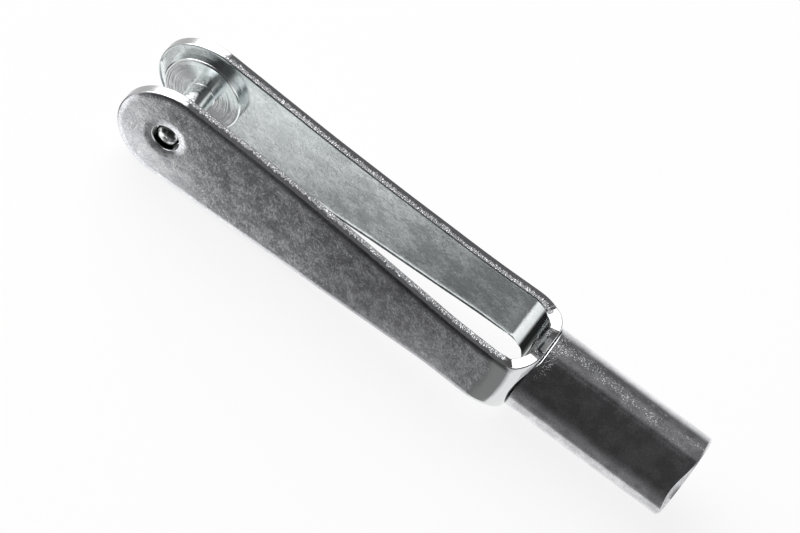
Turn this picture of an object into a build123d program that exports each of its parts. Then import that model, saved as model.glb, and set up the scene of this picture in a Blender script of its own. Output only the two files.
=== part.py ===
from build123d import *
import os
from math import acos, atan2, cos, hypot, sin

# A clevis rod end: a folded steel fork, a threaded sleeve riveted into the fork's base, and a
# flanged pin riveted into one arm of the fork.  Millimetres.
# The origin is where the pin's axis meets the rod's axis.  +X runs along the rod axis to the
# sleeve, +Y along the pin to the arm that carries it, and +Z across the width of the strip.

# --- fork: one folded strip of sheet steel ------------------------------------------------------
SHEET = 0.7                  # thickness of the strip
PIN_TO_BASE = 22.7           # pin axis to the outside of the fork's base
TIP_RADIUS = 2.95            # round end of each arm, about the pin axis
WAIST_WIDTH = 3.75           # strip width at its narrowest
WAIST_TO_BASE = 4.8          # end of the taper to the outside of the base
WAIST_BLEND = 30.0           # radius that eases the taper into the waist
SEAT_WIDTH = 4.7             # strip width in the middle of the base, around the spigot
SEAT_CLEARANCE = 0.24        # the seat begins to widen this far inside the arms
SEAT_BLEND = 0.8             # radius where the seat grows out of the waist
MOUTH_WIDTH = 5.2            # over both arms at the tips
BASE_WIDTH = 5.9             # over both arms at the base, before its folds are rounded
KNEE_FROM_PIN = 7.0          # where the parallel tips pass into the spreading arms
KNEE_RADIUS = 150.0          # outer radius of that gentle bend
FOLD_RADIUS = 2.1            # outer radius of the two folds at the base
EDGE_ROLL = 0.15             # rounding that the punch leaves on the outer side of the strip
EDGE_BREAK = 0.06            # broken edge on the inner side of the strip
HOLE_ROLL = 0.35             # rolled mouth of the hole in the front arm

# --- clevis pin: turned, flanged, riveted in the back arm ---------------------------------------
PIN_DIAMETER = 1.55
FREE_HOLE_CLEARANCE = 0.1    # front arm's hole over the pin, on diameter
END_RECESS = 0.1             # pin end below the outer face of the front arm
END_CHAMFER = 0.22           # chamfer on the free end
ROOT_RADIUS = 0.12           # fillet between the pin and its flange
FLANGE_DIAMETER = 4.6
FLANGE_THICKNESS = 0.6
FLANGE_CHAMFER = 0.08
RIVET_HEAD_DIAMETER = 2.4    # peened head outside the back arm
RIVET_HEAD_HEIGHT = 0.3
RIVET_HEAD_ROUNDING = 0.2

# --- threaded sleeve: turned, with a spigot spun over inside the fork ---------------------------
SLEEVE_DIAMETER = 5.0
SLEEVE_LENGTH = 9.75         # shoulder to free end
SLEEVE_END_CHAMFER = 0.2
SHOULDER_CHAMFER = 0.12
THREAD_DIAMETER = 3.0        # nominal size of the thread in the bore
BORE_DIAMETER = 2.5          # bore at the crests of the thread
SPIGOT_DIAMETER = 3.6
SPUN_HEAD_DIAMETER = 4.0
SPUN_HEAD_HEIGHT = 0.3       # spun head over the inside of the base
SPUN_HEAD_ROUNDING = 0.1

TOUCHING = 0.001             # edges nearer than this to a face lie on it


def folded_corners(depth):
    """Corners of the folded strip seen along Z, at a depth below its outer face."""
    mouth = MOUTH_WIDTH / 2 - depth
    base = BASE_WIDTH / 2 - depth
    back = PIN_TO_BASE - depth
    arm = [(-TIP_RADIUS, mouth), (KNEE_FROM_PIN, mouth), (back, base)]
    return arm + [(x, -y) for x, y in reversed(arm)]


def folded_line(depth):
    """The folded strip seen along Z, with its gentle bends and its folds rounded."""
    knee = KNEE_RADIUS + depth
    fold = FOLD_RADIUS - depth
    return FilletPolyline(*folded_corners(depth), radius=[knee, fold, fold, knee])


def half_gap(x):
    """Half of the gap between the arms, along the stretch where they spread."""
    spread = (BASE_WIDTH - MOUTH_WIDTH) / 2 / (PIN_TO_BASE - SHEET - KNEE_FROM_PIN)
    return MOUTH_WIDTH / 2 - SHEET + spread * (x - KNEE_FROM_PIN)


def arm_outline():
    """Side view of the arms: a round tip, a taper to the waist and a straight run to the base."""
    waist_x = PIN_TO_BASE - WAIST_TO_BASE
    waist_z = WAIST_WIDTH / 2
    touch = atan2(waist_z, waist_x) + acos(TIP_RADIUS / hypot(waist_x, waist_z))
    tip_x = TIP_RADIUS * cos(touch)
    tip_z = TIP_RADIUS * sin(touch)
    with BuildSketch(Plane.XZ) as outline:
        with BuildLine():
            ThreePointArc((tip_x, tip_z), (-TIP_RADIUS, 0), (tip_x, -tip_z))
            Line((tip_x, -tip_z), (waist_x, -waist_z))
            Line((waist_x, -waist_z), (PIN_TO_BASE, -waist_z))
            Line((PIN_TO_BASE, -waist_z), (PIN_TO_BASE, waist_z))
            Line((PIN_TO_BASE, waist_z), (waist_x, waist_z))
            Line((waist_x, waist_z), (tip_x, tip_z))
        make_face()
        waist_corners = outline.vertices().filter_by(lambda corner: abs(corner.X - waist_x) < TOUCHING)
        fillet(waist_corners, WAIST_BLEND)
    return outline.sketch


def seat_outline():
    """End view of the base: the strip widens from the waist to the seat around the spigot."""
    waist_x = PIN_TO_BASE - WAIST_TO_BASE
    waist_z = WAIST_WIDTH / 2
    seat_z = SEAT_WIDTH / 2
    side = BASE_WIDTH / 2
    span = half_gap(waist_x) - SEAT_CLEARANCE
    with BuildSketch(Plane.YZ.offset(waist_x)) as outline:
        with BuildLine():
            ThreePointArc((-span, waist_z), (0, seat_z), (span, waist_z))
            Polyline((span, waist_z), (side, waist_z), (side, -waist_z), (span, -waist_z))
            ThreePointArc((span, -waist_z), (0, -seat_z), (-span, -waist_z))
            Polyline((-span, -waist_z), (-side, -waist_z), (-side, waist_z), (-span, waist_z))
        make_face()
        seat_corners = outline.vertices().filter_by(lambda corner: abs(corner.X) < side - TOUCHING)
        fillet(seat_corners, SEAT_BLEND)
    return outline.sketch


def rim_edges(part, depth):
    """Edges that bound the strip's face at a depth below its outer side."""
    with BuildLine() as line:
        folded_line(depth)
    wall = line.wire()

    def on_wall(edge):
        middle = edge @ 0.5
        return wall.distance_to(Vertex(middle.X, middle.Y, 0)) < TOUCHING

    return part.edges().filter_by(Axis.Z, reverse=True).filter_by(on_wall)


def rim(part, radius, centre):
    """Round edges of one radius about one centre."""

    def matches(edge):
        same_size = abs(edge.radius - radius) < TOUCHING
        return same_size and (edge.arc_center - Vector(*centre)).length < TOUCHING

    return part.edges().filter_by(GeomType.CIRCLE).filter_by(matches)


# The fork: the folded section, trimmed by the outline of the arms and of the seat, then punched.
arm_outer = MOUTH_WIDTH / 2
arm_inner = arm_outer - SHEET
free_hole_radius = (PIN_DIAMETER + FREE_HOLE_CLEARANCE) / 2

with BuildPart() as blank:
    extrude(arm_outline(), amount=BASE_WIDTH, both=True)
    extrude(seat_outline(), amount=WAIST_TO_BASE)

with BuildPart() as fork:
    with BuildSketch():
        with BuildLine():
            outside = folded_line(0)
            inside = folded_line(SHEET)
            Line(outside @ 0, inside @ 0)
            Line(outside @ 1, inside @ 1)
        make_face()
    extrude(amount=TIP_RADIUS, both=True)
    add(blank.part, mode=Mode.INTERSECT)
    fillet(rim_edges(fork, 0), EDGE_ROLL)
    fillet(rim_edges(fork, SHEET), EDGE_BREAK)
    with BuildSketch(Plane.XZ):
        Circle(free_hole_radius)
    extrude(amount=MOUTH_WIDTH, mode=Mode.SUBTRACT)
    fillet(rim(fork, free_hole_radius, (0, -arm_outer, 0)), HOLE_ROLL)
    with BuildSketch(Plane.ZX):
        Circle(PIN_DIAMETER / 2)
    extrude(amount=MOUTH_WIDTH, mode=Mode.SUBTRACT)
    with BuildSketch(Plane.YZ.offset(PIN_TO_BASE - FOLD_RADIUS)):
        Circle(SPIGOT_DIAMETER / 2)
    extrude(amount=FOLD_RADIUS, mode=Mode.SUBTRACT)

# The clevis pin: turned about Y.  Its flange bears on the inside of the back arm.
pin_radius = PIN_DIAMETER / 2
flange_radius = FLANGE_DIAMETER / 2
flange_front = arm_inner - FLANGE_THICKNESS
free_end = END_RECESS - arm_outer
rivet_radius = RIVET_HEAD_DIAMETER / 2
rivet_top = arm_outer + RIVET_HEAD_HEIGHT

with BuildPart() as clevis_pin:
    with BuildSketch():
        with BuildLine():
            Polyline(
                (0, free_end),
                (pin_radius, free_end),
                (pin_radius, flange_front),
                (flange_radius, flange_front),
                (flange_radius, arm_inner),
                (pin_radius, arm_inner),
                (pin_radius, arm_outer),
                (rivet_radius, arm_outer),
                (rivet_radius, rivet_top),
                (0, rivet_top),
                close=True,
            )
        make_face()
    revolve(axis=Axis.Y)
    chamfer(rim(clevis_pin, pin_radius, (0, free_end, 0)), END_CHAMFER)
    fillet(rim(clevis_pin, pin_radius, (0, flange_front, 0)), ROOT_RADIUS)
    chamfer(rim(clevis_pin, flange_radius, (0, flange_front, 0)), FLANGE_CHAMFER)
    chamfer(rim(clevis_pin, flange_radius, (0, arm_inner, 0)), FLANGE_CHAMFER)
    fillet(rim(clevis_pin, rivet_radius, (0, rivet_top, 0)), RIVET_HEAD_ROUNDING)

# The threaded sleeve: turned about X.  Its spigot fills the hole in the base, and its spun head
# takes the shape of the folds inside.
base_inner = PIN_TO_BASE - SHEET
head_face = base_inner - SPUN_HEAD_HEIGHT
sleeve_end = PIN_TO_BASE + SLEEVE_LENGTH
bore_radius = BORE_DIAMETER / 2
spigot_radius = SPIGOT_DIAMETER / 2
head_radius = SPUN_HEAD_DIAMETER / 2
sleeve_radius = SLEEVE_DIAMETER / 2
countersink = (THREAD_DIAMETER - BORE_DIAMETER) / 2

with BuildPart() as threaded_sleeve:
    with BuildSketch():
        with BuildLine():
            Polyline(
                (head_face, bore_radius),
                (head_face, head_radius),
                (base_inner, head_radius),
                (base_inner, spigot_radius),
                (PIN_TO_BASE, spigot_radius),
                (PIN_TO_BASE, sleeve_radius),
                (sleeve_end, sleeve_radius),
                (sleeve_end, bore_radius),
                close=True,
            )
        make_face()
    revolve(axis=Axis.X)
    fillet(rim(threaded_sleeve, head_radius, (head_face, 0, 0)), SPUN_HEAD_ROUNDING)
    chamfer(rim(threaded_sleeve, sleeve_radius, (PIN_TO_BASE, 0, 0)), SHOULDER_CHAMFER)
    chamfer(rim(threaded_sleeve, sleeve_radius, (sleeve_end, 0, 0)), SLEEVE_END_CHAMFER)
    chamfer(rim(threaded_sleeve, bore_radius, (head_face, 0, 0)), countersink)
    chamfer(rim(threaded_sleeve, bore_radius, (sleeve_end, 0, 0)), countersink)
    add(fork.part, mode=Mode.SUBTRACT)

os.makedirs("parts", exist_ok=True)
export_step(fork.part, "parts/fork.step")
export_step(clevis_pin.part, "parts/clevis_pin.step")
export_step(threaded_sleeve.part, "parts/threaded_sleeve.step")
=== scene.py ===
from math import acos, asin, atan2, cos, hypot, pi, radians, sin, tan

import bmesh
import bpy
from mathutils import Matrix, Vector


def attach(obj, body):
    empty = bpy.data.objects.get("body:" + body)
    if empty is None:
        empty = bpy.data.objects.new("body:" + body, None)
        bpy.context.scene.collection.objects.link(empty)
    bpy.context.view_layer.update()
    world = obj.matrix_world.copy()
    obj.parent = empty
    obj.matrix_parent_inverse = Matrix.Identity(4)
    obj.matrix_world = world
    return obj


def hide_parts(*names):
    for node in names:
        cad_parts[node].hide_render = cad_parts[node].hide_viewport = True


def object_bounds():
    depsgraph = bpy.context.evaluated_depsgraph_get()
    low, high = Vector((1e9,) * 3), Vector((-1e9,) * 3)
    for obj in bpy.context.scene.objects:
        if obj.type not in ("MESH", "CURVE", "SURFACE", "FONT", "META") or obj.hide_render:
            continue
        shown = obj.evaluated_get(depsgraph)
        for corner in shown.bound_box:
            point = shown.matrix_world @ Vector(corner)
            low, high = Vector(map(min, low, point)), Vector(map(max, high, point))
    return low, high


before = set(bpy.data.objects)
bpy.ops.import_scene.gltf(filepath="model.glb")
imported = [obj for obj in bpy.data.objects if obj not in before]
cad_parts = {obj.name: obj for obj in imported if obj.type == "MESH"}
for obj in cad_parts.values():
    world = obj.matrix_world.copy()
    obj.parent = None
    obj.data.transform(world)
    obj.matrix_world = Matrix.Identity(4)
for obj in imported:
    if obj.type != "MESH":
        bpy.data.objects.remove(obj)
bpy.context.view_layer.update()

scene = bpy.context.scene

# === camera =====================================================================================
# Looks down on the part as it lies, from the side of the free arm and fifty degrees up.  A long
# lens a quarter of a metre away keeps the sides of so small a part nearly parallel.

camera_data = bpy.data.cameras.new("camera")
camera_data.sensor_width = 36
camera_data.lens = 225
camera_data.clip_start = 0.01
camera_data.clip_end = 10
camera = bpy.data.objects.new("camera", camera_data)
camera.location = (0.018005, -0.168945, 0.201165)
camera.rotation_euler = (0.599580, -0.383178, 0.525273)
scene.collection.objects.link(camera)
scene.camera = camera


# === studio =====================================================================================
# A pale table under a soft box that stands behind and to the left of the part.  The room around
# it is drawn as soft patches of light, because bright plating mirrors all of it.

TABLE_HALF = 3.0             # the table's half side, metres
TABLE_GLOW = 0.85            # share of plain white in the table that the camera sees
SOFT_BOX = (0.70, 0.46)      # the lamp's width and height, metres
SOFT_BOX_PLACE = (-0.28, 0.155, 0.235)
SOFT_BOX_AIM = (0.012, 0, 0)
SOFT_BOX_WATTS = 3.2


def add_node(tree, kind, **settings):
    """A node with its settings; a name that starts with in_ sets an input or links a socket to it."""
    node = tree.nodes.new(kind)
    for name, value in settings.items():
        if not name.startswith("in_"):
            setattr(node, name, value)
    for name, value in settings.items():
        if name.startswith("in_"):
            key = name[3:]
            socket = node.inputs[int(key)] if key.isdigit() else node.inputs[key.replace("_", " ")]
            if isinstance(value, bpy.types.NodeSocket):
                tree.links.new(value, socket)
            else:
                socket.default_value = value
    return node


def maths(tree, operation, first, second=0.0, third=0.0):
    """One arithmetic node; any of its inputs may be a number or a socket."""
    return add_node(tree, "ShaderNodeMath", operation=operation,
                    in_0=first, in_1=second, in_2=third).outputs[0]


def both(tree, first, second):
    """Where both masks are on; a number in place of one weakens the other."""
    return maths(tree, "MULTIPLY", first, second)


def either(tree, first, second):
    """Where one or the other mask is on."""
    return maths(tree, "MAXIMUM", first, second)


def ramp(tree, value, low, high, start=0.0, end=1.0):
    """Smooth change from start to end while the value goes from low to high."""
    return add_node(tree, "ShaderNodeMapRange", interpolation_type="SMOOTHSTEP", in_Value=value,
                    in_From_Min=low, in_From_Max=high, in_To_Min=start, in_To_Max=end).outputs[0]


world = bpy.data.worlds.new("studio")
scene.world = world
world.use_nodes = True
sky = world.node_tree
sky.nodes.clear()
direction = add_node(sky, "ShaderNodeTexCoord").outputs["Generated"]
along, back, up = add_node(sky, "ShaderNodeSeparateXYZ", in_Vector=direction).outputs

# Each patch has its place by turn, in degrees from the front and positive to the right, and by
# rise, in degrees above the level.
turn = maths(sky, "DEGREES", maths(sky, "ARCTAN2", along, maths(sky, "MULTIPLY", back, -1.0)))
away = maths(sky, "ABSOLUTE", turn)
rise = maths(sky, "DEGREES", maths(sky, "ARCSINE", up))

# The table's white below the part, and its front edge, which slants and falls off in steps.
table_below = ramp(sky, rise, -67, -55, 1.05, 0)
slope = maths(sky, "MAXIMUM", maths(sky, "ADD", rise, 52.0), -3.0)
slanting = maths(sky, "MULTIPLY_ADD", slope, 1.4, turn)
front_edge = maths(sky, "ADD", ramp(sky, slanting, -9, -4.5, 1.0, 0), ramp(sky, slanting, -6, 2, 0.3, 0.14))
front_edge = maths(sky, "ADD", front_edge, ramp(sky, turn, 0, 2.5, 0, 0.11))
table_front = both(sky, both(sky, front_edge, ramp(sky, turn, -68, -50)), ramp(sky, rise, -45, -5, 1, 0.3))

# The walls: bright up to a sloping top on the right, low at the back, and two parts on the left.
right_top = ramp(sky, turn, 75, 120, 38, 8)
right_wall = both(sky, both(sky, ramp(sky, turn, 24, 50), ramp(sky, turn, 150, 170, 1, 0)),
                  ramp(sky, maths(sky, "SUBTRACT", rise, right_top), -10, 10, 1, 0))
back_wall = both(sky, ramp(sky, away, 128, 150), ramp(sky, rise, -18, 22, 1.1, 0))
left_wall = both(sky, both(sky, ramp(sky, turn, -172, -150), ramp(sky, turn, -130, -112, 1, 0)),
                 ramp(sky, rise, 0, 12, 1, 0))
left_front = both(sky, both(sky, ramp(sky, turn, -135, -115), ramp(sky, turn, -70, -18, 0.7, 0)),
                  ramp(sky, rise, -42, -15))

# The rest is a dim room, a little lighter at the back and darker overhead.
strength = both(sky, ramp(sky, back, 0.05, 0.3, 0.04, 0.26), ramp(sky, rise, 25, 50, 0.7, 1))
for patch in (table_below, table_front, right_wall, back_wall, left_wall, left_front):
    strength = either(sky, strength, patch)
glow = add_node(sky, "ShaderNodeBackground", in_Color=(1, 1, 1, 1), in_Strength=strength)
add_node(sky, "ShaderNodeOutputWorld", in_Surface=glow.outputs[0])

bm = bmesh.new()
bmesh.ops.create_grid(bm, x_segments=1, y_segments=1, size=TABLE_HALF)
bmesh.ops.translate(bm, verts=bm.verts, vec=(0, 0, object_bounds()[0][2]))
mesh = bpy.data.meshes.new("table")
bm.to_mesh(mesh)
bm.free()
table = bpy.data.objects.new("table", mesh)
scene.collection.objects.link(table)

# Seen directly the table is white paper with the part's shadow; mirrors look through it to the room.
paper = bpy.data.materials.new("table_white")
paper.use_nodes = True
tree = paper.node_tree
tree.nodes.clear()
matte = add_node(tree, "ShaderNodeBsdfDiffuse", in_Color=(0.93, 0.93, 0.93, 1)).outputs[0]
white = add_node(tree, "ShaderNodeEmission", in_Color=(1, 1, 1, 1), in_Strength=1.0).outputs[0]
clear = add_node(tree, "ShaderNodeBsdfTransparent").outputs[0]
rays = add_node(tree, "ShaderNodeLightPath").outputs
seen = add_node(tree, "ShaderNodeMixShader", in_0=TABLE_GLOW, in_1=matte, in_2=white).outputs[0]
lit = add_node(tree, "ShaderNodeMixShader", in_0=rays["Is Camera Ray"], in_1=matte, in_2=seen).outputs[0]
mirrored = either(tree, rays["Is Glossy Ray"], rays["Is Transmission Ray"])
surface = add_node(tree, "ShaderNodeMixShader", in_0=mirrored, in_1=lit, in_2=clear).outputs[0]
add_node(tree, "ShaderNodeOutputMaterial", in_Surface=surface)
mesh.materials.append(paper)

lamp_data = bpy.data.lights.new("soft_box", "AREA")
lamp_data.shape = "RECTANGLE"
lamp_data.size, lamp_data.size_y = SOFT_BOX
lamp_data.energy = SOFT_BOX_WATTS
lamp = bpy.data.objects.new("soft_box", lamp_data)
lamp.location = SOFT_BOX_PLACE
lamp.rotation_euler = (Vector(SOFT_BOX_AIM) - lamp.location).to_track_quat("-Z", "Y").to_euler()
scene.collection.objects.link(lamp)


# === fork =======================================================================================
# A blank punched from 0.7 mm steel strip, folded to a U around the rod axis, then zinc plated.
# The punch rolls the outer edge over and leaves a torn band on the inner part of the cut.  The
# blank is drawn flat (along, across, depth below its outer face) in millimetres, and then folded.

MM = 0.001
SHEET = 0.7
BACK = 22.7                  # pin axis to the outside of the base
MOUTH = 5.2                  # over the arms at the tips
BASE = 5.9                   # over the arms at the base, before its folds are rounded
FOLD_RADIUS = 2.1
KNEE_FROM_PIN = 7.0
KNEE_RADIUS = 150.0
TIP_RADIUS = 2.95
WAIST = 3.75
WAIST_TO_BASE = 4.8
WAIST_BLEND = 30.0           # radius that eases the taper into the waist
SEAT = 4.7
SEAT_HALF = 2.9              # the seat's half length on the flat blank
SEAT_BLEND = 0.19            # length of the blend between seat and waist
ROLL_WIDTH = 0.36            # rolled edge: width on the face and depth below it
ROLL_DEPTH = 0.12
BREAK = 0.07                 # broken edge on the inner side
LOWER_BREAK = ((0.1, 0.058), (0.14, 0.026), (0.12, 0))   # more of it at the lower edge: width, drop
SUPPORT = 0.03               # narrow ring that keeps the faces beside a rounding flat
LOWER_BREAK_FULL = 1.2       # full from here down, and along the blank between these two
LOWER_BREAK_RUN = (4.5, 6)
TAPER_FROM = 6.8             # the strip widens from here to the middle of its round tips
CROWN = 0.04                 # the arms are this much hollow across their inner side
CROWN_RUN = 4                # the crown grows over this length beyond the folds
LEAN = 0.044                 # slope of the arms towards each other at their upper edges
LEAN_RUN = (7, 13)           # it grows between these two, and fades towards the end of the free arm
LEAN_FADE = 5
EDGE_TILT = 0.26             # in the folds the edges of the strip slope down towards their inner side
TILTED_BACK = (0.7, 3.0)     # from here to here along the blank, eased at both ends
TILTED_FRONT = (1.2, 3.4)
TILT_EASE = (0.35, 0.5)
BULGE = 0.30                 # the outside of the folds stands out this much beyond a round fold
BULGE_HALF = 2.4             # and is level again at this distance across
PIN_HOLE = 0.775
FREE_HOLE = 0.80
DISH = 1.35                  # the punch draws the face down around the free hole
DISH_DEPTH = 0.045
MOUTH_EDGE = 0.87            # the hole's mouth is rounded from here to its wall
MOUTH_DEPTH = 0.08
SPIGOT = 1.5                 # the hole in the base, filled by the sleeve's spigot
PAD_SIZE = (1.15, 0.4, 0.54) # rubbed pad on the upper edge of the base: along, across, deep
PAD_PLACE = (-0.37, 2.20, 0.355)
PAD_CORNER = 0.42            # its rounded ends, as a share of its depth
PAD_EDGE = 0.06
CRISP = radians(32)          # sharper corners than this stay crisp in the shading
OUTER_FACE, CUT_EDGE, INNER_FACE, PAD = range(4)   # the order of the fork's materials

spread = atan2((BASE - MOUTH) / 2, BACK - KNEE_FROM_PIN)
fold_turn = pi / 2 + spread
fold_tangent = FOLD_RADIUS * tan(fold_turn / 2)
half_flat = BASE / 2 - fold_tangent
knee_tangent = KNEE_RADIUS * tan(spread / 2)
arm_run = hypot(BACK - KNEE_FROM_PIN, (BASE - MOUTH) / 2) - fold_tangent - knee_tangent
fold_end = half_flat + FOLD_RADIUS * fold_turn
knee_start = fold_end + arm_run
knee_end = knee_start + KNEE_RADIUS * spread
tip = knee_end + KNEE_FROM_PIN - knee_tangent


def share(value, low, high):
    """How far a value has come from low to high, kept between 0 and 1."""
    return min(max((value - low) / (high - low), 0), 1)


def crowned(point):
    """What punching and folding add to the flat blank: crown, lean, tilted edges and full folds."""
    along, across, depth = point
    reach = abs(along)
    half_width = WAIST / 2 + (TIP_RADIUS - WAIST / 2) * share(reach, TAPER_FROM, tip)
    off_centre = min(hypot(max(reach - tip, 0), across) / half_width, 1.2)
    crown = CROWN * share(reach, fold_end, fold_end + CROWN_RUN) * off_centre ** 2
    lean = LEAN * share(reach, *LEAN_RUN)
    if along < 0:
        lean *= share(tip + 1 - reach, 0, LEAN_FADE)
    begins, ends = TILTED_BACK if along > 0 else TILTED_FRONT
    tilt = EDGE_TILT * share(reach, begins, begins + TILT_EASE[0]) * share(ends - reach, 0, TILT_EASE[1])
    bent = min(max((reach - half_flat) / FOLD_RADIUS, 0), pi / 2)
    bulge = BULGE * sin(2 * bent) ** 2 * max(1 - (across / BULGE_HALF) ** 2, 0) * (1 - depth / SHEET)
    return Vector((along, across * (1 - tilt * depth / 2), depth - bulge + crown + lean * across))


def folded(point):
    """Where a point of the flat blank lies once the strip is folded."""
    left, across, depth = abs(point[0]), point[1], point[2]
    x, y, heading = BACK, 0.0, pi / 2
    for length, turn in ((half_flat, 0), (fold_end - half_flat, fold_turn), (arm_run, 0),
                         (knee_end - knee_start, -spread), (tip, 0)):
        step = min(left, length)
        if turn:
            radius = length / turn
            x += radius * (sin(heading + step / radius) - sin(heading))
            y -= radius * (cos(heading + step / radius) - cos(heading))
            heading += step / radius
        else:
            x += step * cos(heading)
            y += step * sin(heading)
        left -= step
        if left <= 0:
            break
    x -= depth * sin(heading)
    y += depth * cos(heading)
    return Vector((x, y if point[0] > 0 else -y, across))


def last_vert(made):
    """The vertex at which a spun line ends."""
    return [g for g in made["geom_last"] if isinstance(g, bmesh.types.BMVert)][0]


def blank_outline():
    """The flat blank's outline as one many-sided face: a quarter of it, mirrored twice."""
    bm = bmesh.new()
    rise = (SEAT - WAIST) / 2
    seat_radius = (SEAT_HALF ** 2 + rise ** 2) / (2 * rise)
    start = bm.verts.new((0, SEAT / 2, 0))
    foot = last_vert(bmesh.ops.spin(
        bm, geom=[start], cent=(0, SEAT / 2 - seat_radius, 0), axis=(0, 0, -1),
        angle=asin(SEAT_HALF / seat_radius), steps=12, use_duplicate=False))
    waist_x = BACK - WAIST_TO_BASE
    waist = bm.verts.new((tip - waist_x, WAIST / 2, 0))
    bm.edges.new((foot, waist))
    touch = atan2(WAIST / 2, waist_x) + acos(TIP_RADIUS / hypot(waist_x, WAIST / 2))
    shoulder = bm.verts.new((tip - TIP_RADIUS * cos(touch), TIP_RADIUS * sin(touch), 0))
    bm.edges.new((waist, shoulder))
    end = last_vert(bmesh.ops.spin(
        bm, geom=[shoulder], cent=(tip, 0, 0), axis=(0, 0, -1),
        angle=pi - touch, steps=40, use_duplicate=False))
    middle = bm.verts.new((0, 0, 0))
    bm.edges.new((end, middle))
    bm.edges.new((middle, start))
    bmesh.ops.contextual_create(bm, geom=bm.edges[:])
    slope = atan2(TIP_RADIUS * sin(touch) - WAIST / 2, waist_x - TIP_RADIUS * cos(touch))
    for corner, length in ((waist, WAIST_BLEND * tan(slope / 2)), (foot, SEAT_BLEND)):
        bmesh.ops.bevel(bm, geom=[corner], offset=length, offset_type="OFFSET", segments=6,
                        profile=0.5, affect="VERTICES", material=-1)
    for side in "XY":
        bmesh.ops.mirror(bm, geom=bm.verts[:] + bm.edges[:] + bm.faces[:], axis=side, merge_dist=0.0001)
    seams = [e for e in bm.edges if len(e.link_faces) == 2]
    bmesh.ops.dissolve_edges(bm, edges=seams, use_verts=False, use_face_split=False)
    return bm


def inset(bm, face, width):
    """A ring of even width inside the border of a face."""
    bmesh.ops.inset_region(bm, faces=[face], thickness=width, use_boundary=True, use_even_offset=True)


def step_in(bm, face, width, drop, steps):
    """Round the border of a face: rings inset in even turns while the face rises by the drop."""
    for i in range(steps):
        low, high = pi / 2 * i / steps, pi / 2 * (i + 1) / steps
        inset(bm, face, width * (cos(low) - cos(high)))
        bmesh.ops.translate(bm, verts=face.verts, vec=(0, 0, drop * (sin(high) - sin(low))))
    inset(bm, face, SUPPORT)


def ring(bm, along, radius, depth):
    """A circle of edges in the flat blank."""
    made = bmesh.ops.create_circle(bm, cap_ends=False, segments=64, radius=radius,
                                   matrix=Matrix.Translation((along, 0, depth)))
    return list({e for v in made["verts"] for e in v.link_edges})


def follow(bm, edges, centre, rings):
    """Extrude a circle of edges through rings of (radius, depth)."""
    for radius, depth in rings:
        now = (edges[0].verts[0].co.xy - Vector((centre, 0))).length
        made = bmesh.ops.extrude_edge_only(bm, edges=edges)["geom"]
        verts = [g for g in made if isinstance(g, bmesh.types.BMVert)]
        edges = [g for g in made if isinstance(g, bmesh.types.BMEdge)]
        bmesh.ops.scale(bm, vec=(radius / now, radius / now, 1), verts=verts,
                        space=Matrix.Translation((-centre, 0, 0)))
        for v in verts:
            v.co.z = depth


def sliced(bm, place, normal, dist=0.0002, **cleared):
    """Cut the whole mesh at a plane."""
    bmesh.ops.bisect_plane(bm, geom=bm.verts[:] + bm.edges[:] + bm.faces[:], dist=dist,
                           plane_co=place, plane_no=normal, **cleared)


def piece_of(bm, name, crisp):
    """Make a closed bmesh drawn in millimetres into a smooth shaded object with crisp corners."""
    for e in bm.edges:
        if len(e.link_faces) == 2 and e.calc_face_angle() > crisp:
            e.smooth = False
    bmesh.ops.scale(bm, vec=(MM, MM, MM), verts=bm.verts)
    mesh = bpy.data.meshes.new(name)
    bm.to_mesh(mesh)
    bm.free()
    for polygon in mesh.polygons:
        polygon.use_smooth = True
    piece = bpy.data.objects.new(name, mesh)
    scene.collection.objects.link(piece)
    return piece


# The outline is extruded to the sheet's thickness, and both its edges are rounded.
bm = blank_outline()
outer = bm.faces[:][0]
for v in outer.verts:
    v.co.z = ROLL_DEPTH
inner = [g for g in bmesh.ops.extrude_face_region(bm, geom=[outer], use_keep_orig=True)["geom"]
         if isinstance(g, bmesh.types.BMFace)][0]
for v in inner.verts:
    v.co.z = SHEET - BREAK
step_in(bm, outer, ROLL_WIDTH, -ROLL_DEPTH, 8)
step_in(bm, inner, BREAK, BREAK, 3)
for width, lower in LOWER_BREAK:
    for v in inner.verts:
        v.co.z -= lower * share(-v.co.y, 0, LOWER_BREAK_FULL) * share(abs(v.co.x), *LOWER_BREAK_RUN)
    inset(bm, inner, width)
    for v in inner.verts:
        v.co.z = SHEET

# Three holes are punched: a dished one in the front arm, one for the pin and one for the spigot.
dish = [(DISH - (DISH - MOUTH_EDGE) * i / 10, DISH_DEPTH * (i / 10) ** 2) for i in range(11)]
mouth = [(MOUTH_EDGE - (MOUTH_EDGE - FREE_HOLE) * sin(pi / 2 * i / 6),
          DISH_DEPTH + MOUTH_DEPTH * (1 - cos(pi / 2 * i / 6))) for i in range(1, 7)]
wall = [(FREE_HOLE, SHEET - BREAK), (FREE_HOLE + BREAK, SHEET), (FREE_HOLE + 2 * BREAK, SHEET)]
free_top = ring(bm, -tip, DISH + SUPPORT, 0)
free_low = ring(bm, -tip, FREE_HOLE + 2 * BREAK, SHEET)
pin_top = ring(bm, tip, PIN_HOLE, 0)
pin_low = ring(bm, tip, PIN_HOLE, SHEET)
base_top = ring(bm, 0, SPIGOT, 0)
base_low = ring(bm, 0, SPIGOT, SHEET)
for edges, radius in ((base_top, FOLD_RADIUS), (base_low, FOLD_RADIUS - SHEET)):
    for v in {v for e in edges for v in e.verts}:
        beyond = abs(v.co.x) - half_flat
        if beyond > 0:
            v.co.x = (half_flat + FOLD_RADIUS * asin(beyond / radius)) * (1 if v.co.x > 0 else -1)
for face, holes in ((outer, (free_top, pin_top, base_top)), (inner, (free_low, pin_low, base_low))):
    border = face.edges[:] + [e for hole in holes for e in hole]
    bmesh.ops.delete(bm, geom=[face], context="FACES_ONLY")
    bmesh.ops.triangle_fill(bm, use_beauty=True, use_dissolve=False, edges=border)
follow(bm, free_top, -tip, dish + mouth + wall)
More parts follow.
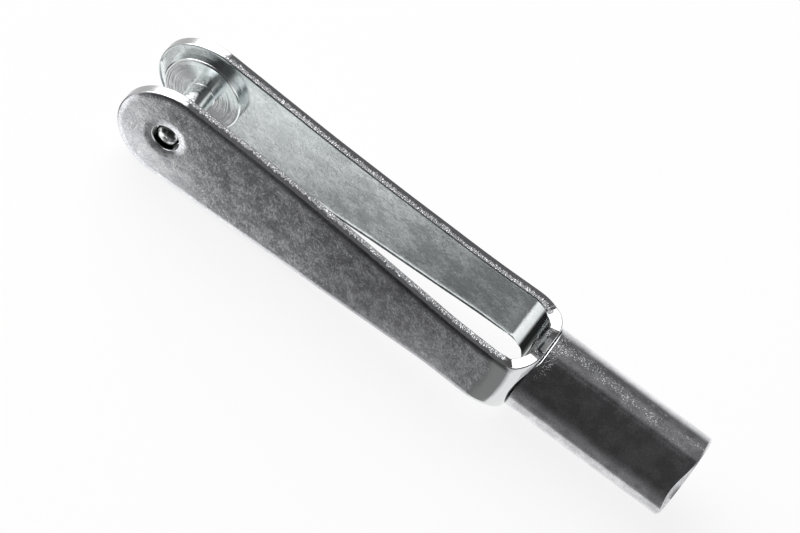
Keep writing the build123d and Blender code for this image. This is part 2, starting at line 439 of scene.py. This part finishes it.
bmesh.ops.bridge_loops(bm, edges=pin_top + pin_low)
bmesh.ops.bridge_loops(bm, edges=base_top + base_low)
bmesh.ops.remove_doubles(bm, verts=bm.verts, dist=0.0005)

# Cuts across, along and around the blank give the folds, knees and crown enough faces to bend.
for depth in (ROLL_DEPTH + 0.02, SHEET - BREAK - 0.02):
    sliced(bm, (0, 0, depth), (0, 0, 1))
cuts = [half_flat - 0.05, fold_end + 0.05, knee_start - 0.05, knee_end + 0.05]
cuts += [half_flat + (fold_end - half_flat) * i / 28 for i in range(29)]
cuts += [knee_start + (knee_end - knee_start) * i / 8 for i in range(9)]
cuts += [fold_end + i * 0.8 for i in range(1, 29)]
for cut in sorted(cuts + [-c for c in cuts]):
    sliced(bm, (cut, 0, 0), (1, 0, 0))
for cut in (0.5, 1.0, 1.4, 1.8, 2.2, 2.6):
    sliced(bm, (0, -cut, 0), (0, 1, 0))
    sliced(bm, (0, cut, 0), (0, 1, 0))
for face in bm.faces:
    depths = [v.co.z for v in face.verts]
    if min(depths) > SHEET - BREAK - 0.001:
        face.material_index = INNER_FACE
    elif min(depths) > ROLL_DEPTH - 0.001 and max(depths) < SHEET - BREAK + 0.001:
        face.material_index = CUT_EDGE

# The pad is a small rounded block let into the upper edge of the base.
strip_faces = set(bm.faces)
pad = bmesh.ops.create_cube(bm, size=1)["verts"]
bmesh.ops.scale(bm, vec=PAD_SIZE, verts=pad)
bmesh.ops.translate(bm, vec=PAD_PLACE, verts=pad)
upright = [e for e in {e for v in pad for e in v.link_edges} if abs((e.verts[0].co - e.verts[1].co).y) > 0.1]
rounded = bmesh.ops.bevel(bm, geom=upright, offset=PAD_SIZE[2] * PAD_CORNER, offset_type="OFFSET",
                          segments=8, profile=0.5, affect="EDGES", material=-1)
pad = list({v for f in rounded["faces"] for v in f.verts})
rim = [e for e in {e for v in pad for e in v.link_edges} if min(v.co.y for v in e.verts) > PAD_PLACE[1]]
bmesh.ops.bevel(bm, geom=rim, offset=PAD_EDGE, offset_type="OFFSET", segments=4, profile=0.5,
                affect="EDGES", material=-1)
for face in bm.faces:
    if face not in strip_faces:
        face.material_index = PAD

# Folding takes the blank's left hand to its right, so its faces are turned over to point outwards.
bmesh.ops.recalc_face_normals(bm, faces=bm.faces)
bmesh.ops.reverse_faces(bm, faces=bm.faces)
flat = bm.verts.layers.float_vector.new("flat")
for v in bm.verts:
    v[flat] = v.co.copy()
    v.co = folded(crowned(v.co))
fork = piece_of(bm, "fork_strip", CRISP)

# White for scratches and nicks, and for painted glints on the torn cut; near black for painted shade.
BRIGHT_WEAR_AND_GLINT = (1, 1, 1, 1)
PAINTED_SHADE_BLACK = (0.03, 0.03, 0.03, 1)


def noise(tree, place, scale=1.0, detail=2.0, rough=0.5, warp=0.0):
    """Fractal noise, mostly between 0.3 and 0.7."""
    return add_node(tree, "ShaderNodeTexNoise", in_Vector=place, in_Scale=scale, in_Detail=detail,
                    in_Roughness=rough, in_Distortion=warp).outputs[0]


def shifted(tree, place, offset=(0, 0, 0), stretch=(1, 1, 1)):
    """The place of a point moved and stretched before a pattern reads it."""
    return add_node(tree, "ShaderNodeMapping", in_Vector=place, in_Location=offset,
                    in_Scale=stretch).outputs[0]


def mixed(tree, amount, first, second):
    """One colour fading into another."""
    return add_node(tree, "ShaderNodeMix", data_type="RGBA", in_0=amount, in_6=first, in_7=second).outputs[2]


def summed(tree, *weighed):
    """The sum of some masks, each with its weight."""
    total = 0.0
    for mask, weight in weighed:
        total = maths(tree, "MULTIPLY_ADD", mask, weight, total)
    return total


def effect(name, numbers, results):
    """A node group that reads a place and some numbers and puts out masks; its tree and two ends."""
    group = bpy.data.node_groups.new(name, "ShaderNodeTree")
    group.interface.new_socket("Place", in_out="INPUT", socket_type="NodeSocketVector")
    for label in numbers:
        group.interface.new_socket(label, in_out="INPUT", socket_type="NodeSocketFloat")
    for label in results:
        group.interface.new_socket(label, in_out="OUTPUT", socket_type="NodeSocketFloat")
    return group, group.nodes.new("NodeGroupInput").outputs, group.nodes.new("NodeGroupOutput").inputs


def placed(tree, group, place, **numbers):
    """Set an effect into a material, with its own numbers; the masks that it puts out."""
    return add_node(tree, "ShaderNodeGroup", node_tree=group, in_Place=place, **numbers).outputs


# Tumbling in the plating drum leaves cloudy dull patches, curled hair scratches and a fine grain.
drum_marks, given, wanted = effect("drum_marks", ["Hair width"], ["Clouds", "Hairs", "Grain"])
place = given["Place"]
drum_marks.links.new(ramp(drum_marks, noise(drum_marks, place, 0.9, 5, 0.62), 0.34, 0.66), wanted["Clouds"])
hairs = 0.0
for scale, offset in ((1.5, (3, 7, 1)), (2.3, (11, 2, 5)), (3.4, (5, 13, 9)), (4.8, (17, 4, 2))):
    field = noise(drum_marks, shifted(drum_marks, place, offset), scale, 1.5, 0.5, 1.4)
    from_line = maths(drum_marks, "ABSOLUTE", maths(drum_marks, "SUBTRACT", field, 0.5))
    line = ramp(drum_marks, maths(drum_marks, "DIVIDE", from_line, given["Hair width"]), 0, 1, 1, 0)
    patch = ramp(drum_marks, noise(drum_marks, shifted(drum_marks, place, offset[::-1]), 1.9), 0.47, 0.6)
    hairs = either(drum_marks, hairs, both(drum_marks, line, patch))
drum_marks.links.new(hairs, wanted["Hairs"])
drum_marks.links.new(noise(drum_marks, place, 12.0, 3, 0.65), wanted["Grain"])

# The folding die polishes the strip where it bends; the arms keep their tumbled finish.
die_polish, given, wanted = effect("die_polish", ["Fold end"], ["Arm"])
reach = add_node(die_polish, "ShaderNodeSeparateXYZ", in_Vector=given["Place"]).outputs["X"]
past = maths(die_polish, "SUBTRACT", maths(die_polish, "ABSOLUTE", reach), given["Fold end"])
ragged = summed(die_polish, (noise(die_polish, given["Place"], 0.9, 3), 1.2), (past, 1))
die_polish.links.new(ramp(die_polish, ragged, 0.1, 1.1), wanted["Arm"])


def zinc(name):
    """A zinc plated finish: a fully metallic shader whose colour, roughness and bump are still to come."""
    material = bpy.data.materials.new(name)
    material.use_nodes = True
    shader = material.node_tree.nodes["Principled BSDF"]
    shader.inputs["Metallic"].default_value = 1
    return material, material.node_tree, shader


def finish(tree, shader, colour, roughness, height, depth):
    """Join colour, roughness and a bump of the given depth in metres to the shader."""
    tree.links.new(colour, shader.inputs["Base Color"])
    tree.links.new(roughness, shader.inputs["Roughness"])
    bump = add_node(tree, "ShaderNodeBump", in_Strength=1.0, in_Distance=depth, in_Height=height)
    tree.links.new(bump.outputs[0], shader.inputs["Normal"])


def on_blank(tree):
    """A point's place on the flat blank, its distance along from the middle, and its coordinates."""
    place = add_node(tree, "ShaderNodeAttribute", attribute_name="flat").outputs["Vector"]
    parts = add_node(tree, "ShaderNodeSeparateXYZ", in_Vector=place).outputs
    return place, maths(tree, "ABSOLUTE", parts["X"]), parts


# The outside is mottled and scratched, and painted shade darkens it towards the base.
outer_zinc, tree, shader = zinc("zinc_outer_face")
place, run, parts = on_blank(tree)
marks = placed(tree, drum_marks, place, in_Hair_width=0.035)
arm = placed(tree, die_polish, place, in_Fold_end=4.1)[0]
dull = summed(tree, (noise(tree, place, 9.0, 4, 0.75), 0.85), (marks["Clouds"], 0.14))
colour = mixed(tree, ramp(tree, dull, 0.3, 0.7), (0.48, 0.485, 0.515, 1), (0.86, 0.865, 0.895, 1))
colour = mixed(tree, both(tree, marks["Hairs"], 0.5), colour, BRIGHT_WEAR_AND_GLINT)
# Painted shade: the arms are drawn darker towards the base.
colour = mixed(tree, ramp(tree, run, 9, 21, 0.42, 0), colour, PAINTED_SHADE_BLACK)
colour = mixed(tree, arm, (0.72, 0.73, 0.735, 1), colour)
roughness = ramp(tree, both(tree, dull, arm), 0, 0.9, 0.10, 0.16)
height = both(tree, summed(tree, (marks["Grain"], 0.5), (marks["Hairs"], 0.3), (dull, 1)),
              ramp(tree, arm, 0, 1, 0.15, 1))
finish(tree, shader, colour, roughness, height, 0.000004)

# The inside keeps more of its shine; its haze is drawn out along the strip and patchier at the tip.
inner_zinc, tree, shader = zinc("zinc_inner_face")
place, run, parts = on_blank(tree)
drawn = shifted(tree, place, stretch=(0.8, 1.1, 1))
marks = placed(tree, drum_marks, drawn, in_Hair_width=0.035)
arm = placed(tree, die_polish, place, in_Fold_end=4.1)[0]
haze = summed(tree, (noise(tree, drawn, 8.0, 4, 0.8), 0.85), (marks["Clouds"], 0.2))
blotch = both(tree, maths(tree, "SUBTRACT", haze, 0.52), ramp(tree, run, 12, 19, 2.4, 1))
colour = mixed(tree, ramp(tree, blotch, -0.24, 0.3), (0.50, 0.535, 0.535, 1), (0.79, 0.825, 0.835, 1))
colour = mixed(tree, both(tree, marks["Hairs"], 0.2), colour, (0.95, 1, 1, 1))
colour = mixed(tree, arm, (0.68, 0.71, 0.715, 1), colour)
# Painted shade: inside the base, the broken inner edges are drawn near black.
corner = both(tree, ramp(tree, parts["Z"], SHEET - 0.004, SHEET - 0.015), ramp(tree, run, 1.4, 1.9, 1, 0))
colour = mixed(tree, corner, colour, PAINTED_SHADE_BLACK)
# Painted shade: the inside of the base and its folds is drawn darker, with a ragged border.
painted_fold_shade = ramp(tree, summed(tree, (haze, 1.2), (run, 1)), 3.4, 4.6, 0.34, 0)
colour = mixed(tree, painted_fold_shade, colour, (0.05, 0.05, 0.05, 1))
roughness = ramp(tree, both(tree, haze, arm), 0, 0.9, 0.10, 0.18)
height = both(tree, summed(tree, (marks["Grain"], 0.5), (haze, 1)), ramp(tree, arm, 0, 1, 0.3, 1))
finish(tree, shader, colour, roughness, height, 0.000006)

# The punch burnishes the outer part of the cut; the inner part tears and stays rough, with painted
# glints on its teeth.  The folds and the tips are bright all over, and the wall of the free hole carries
# painted shade.
cut_zinc, tree, shader = zinc("zinc_sheared_edge")
place, run, parts = on_blank(tree)
back_fold = both(tree, ramp(tree, parts["X"], 0.65, 0.85), ramp(tree, parts["X"], 2.5, 2.8, 1, 0))
front_fold = both(tree, ramp(tree, parts["X"], -1.4, -1.15, 1, 0), ramp(tree, parts["X"], -3.3, -3.0))
rounded_tip = ramp(tree, run, tip - 0.1, tip + 0.35)
bright = either(tree, either(tree, back_fold, front_fold), rounded_tip)
straight = maths(tree, "SUBTRACT", 1.0, bright)
fringe = noise(tree, shifted(tree, place, stretch=(4, 4, 0.8)), 1.0, 3, 0.65)
torn = both(tree, ramp(tree, summed(tree, (fringe, 0.5), (parts["Z"], 1)), 0.60, 0.66), straight)
teeth = noise(tree, shifted(tree, place, stretch=(20, 20, 7)), rough=0.6)
scored = noise(tree, shifted(tree, place, stretch=(14, 14, 0.6)))
colour = mixed(tree, torn, (0.36, 0.36, 0.375, 1), (0.26, 0.26, 0.27, 1))
# Painted glints: white specks on the teeth of the torn band.
colour = mixed(tree, both(tree, ramp(tree, teeth, 0.56, 0.62), torn), colour, BRIGHT_WEAR_AND_GLINT)
colour = mixed(tree, straight, (0.38, 0.38, 0.38, 1), colour)
# Painted shade: the wall of the free hole is drawn near black.
from_hole = maths(tree, "ADD", parts["X"], tip)
from_hole = maths(tree, "MULTIPLY_ADD", from_hole, from_hole, both(tree, parts["Y"], parts["Y"]))
painted_hole_shade = both(tree, ramp(tree, from_hole, 0.8, 1.0, 1, 0), ramp(tree, parts["Z"], 0.13, 0.2))
colour = mixed(tree, painted_hole_shade, colour, PAINTED_SHADE_BLACK)
roughness = either(tree, ramp(tree, torn, 0, 1, 0.1, 0.2), both(tree, rounded_tip, 0.26))
height = summed(tree, (both(tree, teeth, torn), 1), (scored, 0.015))
finish(tree, shader, colour, roughness, height, 0.00003)

# The pad is rubbed into streaks, and painted shade darkens its inner end.
rubbed_zinc, tree, shader = zinc("zinc_rubbed_pad")
place, run, parts = on_blank(tree)
streaks = noise(tree, shifted(tree, place, stretch=(0.9, 8, 8)), 1.0, 3, 0.6)
streaky = ramp(tree, streaks, 0.35, 0.65)
rubbed = mixed(tree, streaky, (0.52, 0.55, 0.55, 1), (0.95, 0.97, 0.97, 1))
# Painted shade: the pad's inner end is drawn dark.
painted_shade_end = mixed(tree, streaky, (0.045, 0.05, 0.05, 1), (0.10, 0.11, 0.11, 1))
colour = mixed(tree, ramp(tree, parts["Z"], 0.36, 0.44), rubbed, painted_shade_end)
finish(tree, shader, colour, ramp(tree, streaks, 0.3, 0.7, 0.16, 0.1), streaks, 0.000002)

for material in (outer_zinc, cut_zinc, inner_zinc, rubbed_zinc):
    fork.data.materials.append(material)
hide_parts("fork")
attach(fork, "root")


# === clevis pin =================================================================================
# Turned from steel bar with a thin flange, and zinc plated.  Its tail goes through the back arm
# and is peened over outside; its rounded nose sits in the free hole of the front arm.

PIN = 0.775
FRONT = -2.5                 # the pin's front end, on its axis
NOSE = 0.69                  # the front end is reduced and rounded over to a small flat
NOSE_DEPTH = 0.32
NOSE_FLAT = 0.08
FLANGE = 2.3
FLANGE_BREAK = 0.08
RIVET_HEAD = 1.2
TURNED_CRISP = radians(28)
PIN_FEED = 0.07              # how far apart the tool's rings lie


def turned(bm, profile, axis, steps=128):
    """Spin a half section of (along, radius) points around the axis; long runs stay flat to their ends."""
    points = [profile[0]]
    for start, end in zip(profile, profile[1:]):
        start, end = Vector(start), Vector(end)
        run = (end - start).length
        if run > 5 * SUPPORT:
            points += [tuple(start.lerp(end, SUPPORT / run)), tuple(end.lerp(start, SUPPORT / run))]
        points.append(tuple(end))
    verts = [bm.verts.new((along, 0, radius) if axis == "X" else (radius, along, 0))
             for along, radius in points]
    edges = [bm.edges.new(pair) for pair in zip(verts, verts[1:])]
    bmesh.ops.spin(bm, geom=verts + edges, cent=(0, 0, 0), axis=(1, 0, 0) if axis == "X" else (0, 1, 0),
                   angle=2 * pi, steps=steps, use_merge=True, use_duplicate=False)
    bmesh.ops.remove_doubles(bm, verts=bm.verts, dist=0.0005)


def eased(corners, radius, steps=4):
    """The half section with each inner corner rounded by a short curve."""
    points = [corners[0]]
    for before, corner, after in zip(corners, corners[1:], corners[2:]):
        before, corner, after = Vector(before), Vector(corner), Vector(after)
        reach = min(radius, (before - corner).length * 0.45, (after - corner).length * 0.45)
        a = corner + (before - corner).normalized() * reach
        b = corner + (after - corner).normalized() * reach
        for i in range(steps + 1):
            t = i / steps
            points.append(tuple((1 - t) ** 2 * a + 2 * t * (1 - t) * corner + t ** 2 * b))
    points.append(corners[-1])
    return points


nose = [(FRONT + NOSE_DEPTH * (1 - cos(pi / 2 * i / 10)),
         NOSE_FLAT + (NOSE - NOSE_FLAT) * sin(pi / 2 * i / 10)) for i in range(11)]
neck = [(-1.75, NOSE + 0.01), (-1.6, PIN), (1.27, PIN), (1.3, 0.81)]
flange = [(1.3, FLANGE - FLANGE_BREAK), (1.38, FLANGE), (1.82, FLANGE), (1.9, FLANGE - FLANGE_BREAK)]
tail = [(1.9, PIN), (2.6, PIN), (2.6, RIVET_HEAD), (2.7, RIVET_HEAD), (2.84, 1.1), (2.9, 0.9), (2.9, 0)]
bm = bmesh.new()
turned(bm, eased([(FRONT, 0)] + nose + neck + flange + tail, 0.02), "Y")
bmesh.ops.recalc_face_normals(bm, faces=bm.faces)
pin = piece_of(bm, "flanged_pin", TURNED_CRISP)


def on_turned(tree, turned_by):
    """A point's place in millimetres with Z on the axis of a turned piece, and its coordinates."""
    metres = add_node(tree, "ShaderNodeTexCoord").outputs["Object"]
    place = add_node(tree, "ShaderNodeMapping", in_Vector=metres, in_Rotation=turned_by,
                     in_Scale=(1 / MM, 1 / MM, 1 / MM)).outputs[0]
    return place, add_node(tree, "ShaderNodeSeparateXYZ", in_Vector=place).outputs


# The tool leaves fine rings around everything turned; they wander and fade a little on the way round.
tool_rings, given, wanted = effect("tool_rings", ["Feed"], ["Rings"])
split = add_node(tool_rings, "ShaderNodeSeparateXYZ", in_Vector=given["Place"]).outputs
square = maths(tool_rings, "MULTIPLY_ADD", split["X"], split["X"], both(tool_rings, split["Y"], split["Y"]))
radial = maths(tool_rings, "DIVIDE", maths(tool_rings, "SQRT", square), given["Feed"])
axial = maths(tool_rings, "DIVIDE", split["Z"], given["Feed"])
section = add_node(tool_rings, "ShaderNodeCombineXYZ", in_X=radial, in_Y=axial).outputs[0]
wander = maths(tool_rings, "MULTIPLY", noise(tool_rings, given["Place"], 0.4, 1), 4.0)
rings = add_node(tool_rings, "ShaderNodeTexNoise", noise_dimensions="4D", in_Vector=section, in_W=wander,
                 in_Scale=1.0, in_Detail=2.0, in_Roughness=0.6).outputs[0]
tool_rings.links.new(rings, wanted["Rings"])

# The neck behind the nose carries painted shade, the nose painted shade in patches, and one side of the
# shaft is scuffed dull.
pin_zinc, tree, shader = zinc("zinc_turned_pin")
place, parts = on_turned(tree, (pi / 2, 0, 0))
marks = placed(tree, drum_marks, place, in_Hair_width=0.035)
rings = placed(tree, tool_rings, place, in_Feed=PIN_FEED)[0]
tone = summed(tree, (rings, 0.6), (marks["Clouds"], 0.4))
colour = mixed(tree, ramp(tree, tone, 0.3, 0.8), (0.84, 0.87, 0.875, 1), (0.98, 1, 1, 1))
# Painted shade: the neck inside the free hole is drawn near black.
painted_neck_shade = both(tree, ramp(tree, parts["Z"], -2.3, -2.2), ramp(tree, parts["Z"], -1.6, -1.5, 1, 0))
colour = mixed(tree, painted_neck_shade, colour, PAINTED_SHADE_BLACK)
# Painted shade: dark patches on the nose.
painted_nose_shade = both(tree, ramp(tree, noise(tree, place, 2.4), 0.42, 0.56, 0, 0.85),
              ramp(tree, parts["Z"], -2.3, -2.2, 1, 0))
colour = mixed(tree, painted_nose_shade, colour, (0.06, 0.06, 0.06, 1))
off_axis = maths(tree, "MULTIPLY_ADD", parts["X"], parts["X"], both(tree, parts["Y"], parts["Y"]))
shaft = both(tree, ramp(tree, off_axis, 0.62, 0.7, 1, 0), ramp(tree, parts["Z"], -1.6, -1.4))
scuffed = ramp(tree, noise(tree, shifted(tree, place, stretch=(2, 2, 4)), 1.0, 4, 0.7), 0.42, 0.5)
scuffed = both(tree, scuffed, ramp(tree, parts["X"], -0.15, 0.05, 1, 0))
roughness = summed(tree, (both(tree, shaft, scuffed), 0.28), (ramp(tree, tone, 0.2, 0.8, 0.1, 0.16), 1))
height = both(tree, summed(tree, (marks["Grain"], 0.15), (rings, 1)), ramp(tree, shaft, 0, 1, 1, 0.2))
finish(tree, shader, colour, roughness, height, 0.0000055)
pin.data.materials.append(pin_zinc)
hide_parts("clevis_pin")
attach(pin, "root")


# === threaded sleeve ============================================================================
# Turned from steel bar, threaded M3 from its free end, and zinc plated.  Its thinner spigot goes
# through the base of the fork and is spun over inside, which holds the two together.

SLEEVE = 2.5
END = 32.42                  # free end, from the pin axis
END_BREAK = 0.12
BORE = 1.24
MINOR = 1.25                 # M3 thread
MAJOR = 1.53
PITCH = 0.5
THREAD_END = 23.0
COUNTERSINK = 0.2
COUNTERSINK_MOUTH = 1.68
SHOULDER_BREAK = 0.05
SHOULDER_LEAN = 0.26         # the shoulder is pressed over the folds, on the sides
LEANS_TO, UPRIGHT_FROM = radians(36), radians(60)
WEAR = 0.2                   # crescent worn off the end, in the middle of this arc
WEAR_MIDDLE, WEAR_HALF = radians(28), radians(38)
SLEEVE_FEED = 0.15

spun_head = [(21.98, BORE), (21.9, 1.3), (21.9, 1.4), (21.93, 1.5), (22.0, 1.54), (22.0, SPIGOT)]
shoulder = [(BACK, SPIGOT), (BACK, SLEEVE - 0.06), (BACK + 0.015, SLEEVE - 0.02),
            (BACK + SHOULDER_BREAK, SLEEVE)]
free_end = [(END - END_BREAK, SLEEVE), (END, SLEEVE - 0.1), (END, COUNTERSINK_MOUTH),
            (END - COUNTERSINK, 1.56)]
bm = bmesh.new()
turned(bm, eased([(THREAD_END, BORE)] + spun_head + shoulder + free_end, 0.015), "X")
for v in bm.verts:
    radius = hypot(v.co.y, v.co.z)
    if v.co.x > END - 0.2 and radius > SLEEVE - 0.01:
        from_wear = (atan2(v.co.z, -v.co.y) - WEAR_MIDDLE) / WEAR_HALF
        v.co.x -= WEAR * max(0, cos(pi / 2 * min(max(from_wear, -1), 1))) ** 1.5
    if v.co.x < BACK + 0.15 and radius > SLEEVE - 0.12:
        upright = share(asin(min(abs(v.co.z) / SLEEVE, 1)), LEANS_TO, UPRIGHT_FROM)
        v.co.x -= SHOULDER_LEAN * (1 - upright ** 2 * (3 - 2 * upright))

# The thread is its groove's section spun along a helix, cut off level at both ends.
turns = int((END - THREAD_END) / PITCH) + 2
groove = [(0, MINOR), (0.12, MINOR), (0.44, MAJOR), (0.56, MAJOR), (0.88, MINOR), (1, MINOR)]
thread = bmesh.new()
verts = [thread.verts.new((END + PITCH - PITCH * along, 0, radius)) for along, radius in groove]
edges = [thread.edges.new(pair) for pair in zip(verts, verts[1:])]
bmesh.ops.spin(thread, geom=verts + edges, cent=(0, 0, 0), axis=(1, 0, 0), dvec=(-PITCH / 48, 0, 0),
               angle=2 * pi * turns, steps=48 * turns, use_duplicate=False)
bmesh.ops.remove_doubles(thread, verts=thread.verts, dist=0.001)
sliced(thread, (END - COUNTERSINK, 0, 0), (1, 0, 0), 0.0001, clear_outer=True)
sliced(thread, (THREAD_END, 0, 0), (1, 0, 0), 0.0001, clear_inner=True)
threaded = bpy.data.meshes.new("thread")
thread.to_mesh(threaded)
thread.free()
bm.from_mesh(threaded)
bpy.data.meshes.remove(threaded)
for level in (END - COUNTERSINK, THREAD_END):
    open_edges = [e for e in bm.edges if len(e.link_faces) == 1
                  and all(abs(v.co.x - level) < 0.002 for v in e.verts)]
    bmesh.ops.bridge_loops(bm, edges=open_edges)
bmesh.ops.recalc_face_normals(bm, faces=bm.faces)
sleeve = piece_of(bm, "round_sleeve", TURNED_CRISP)

# Speckled grey, nicked in patches on top and along the shoulder, with painted shade on the pressed shoulder
# and on the spun head.
sleeve_zinc, tree, shader = zinc("zinc_turned_sleeve")
place, parts = on_turned(tree, (0, pi / 2, 0))
marks = placed(tree, drum_marks, place, in_Hair_width=0.035)
rings = placed(tree, tool_rings, place, in_Feed=SLEEVE_FEED)[0]
rolled = noise(tree, shifted(tree, place, stretch=(1.6, 1.6, 0.25)), 1.0, 4, 0.6)
tone = summed(tree, (rolled, 0.6), (marks["Clouds"], 0.4))
top = both(tree, ramp(tree, parts["Y"], -0.9, -0.3), ramp(tree, parts["Y"], 0.5, 1.0, 1, 0))
patch = ramp(tree, noise(tree, shifted(tree, place, stretch=(1.5, 1.5, 0.5))), 0.42, 0.56)
rim = both(tree, ramp(tree, parts["Z"], -23.5, -23.2), ramp(tree, parts["Z"], -22.9, -22.75, 1, 0))
rim = both(tree, rim, ramp(tree, parts["X"], 1.2, 1.7))
worn = either(tree, both(tree, both(tree, patch, top), 0.8), rim)
nicks = both(tree, ramp(tree, noise(tree, place, 13.0, 2, 0.7), 0.57, 0.66), worn)
speckle = ramp(tree, noise(tree, place, 15.0, 3, 0.7), 0.35, 0.65, 0.45, 0)
colour = mixed(tree, ramp(tree, tone, 0.3, 0.75), (0.56, 0.56, 0.58, 1), (0.80, 0.80, 0.83, 1))
colour = mixed(tree, speckle, colour, (0.2, 0.2, 0.21, 1))
colour = mixed(tree, nicks, colour, BRIGHT_WEAR_AND_GLINT)
# Painted shade: the spigot and the pressed shoulder, where they sit against the base, are drawn dark.
colour = mixed(tree, ramp(tree, parts["Z"], -22.56, -22.46), colour, (0.12, 0.12, 0.12, 1))
# Painted shade: the spun head inside the base is drawn near black.
colour = mixed(tree, ramp(tree, parts["Z"], -22.1, -22.0), colour, (0.04, 0.04, 0.04, 1))
height = summed(tree, (noise(tree, place, 16.0, 2, 0.6), 0.6), (rings, 0.1), (nicks, 1))
finish(tree, shader, colour, ramp(tree, tone, 0.2, 0.8, 0.10, 0.14), height, 0.000003)
sleeve.data.materials.append(sleeve_zinc)
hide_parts("threaded_sleeve")
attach(sleeve, "root")


# === view =======================================================================================

scene.view_settings.view_transform = "Standard"
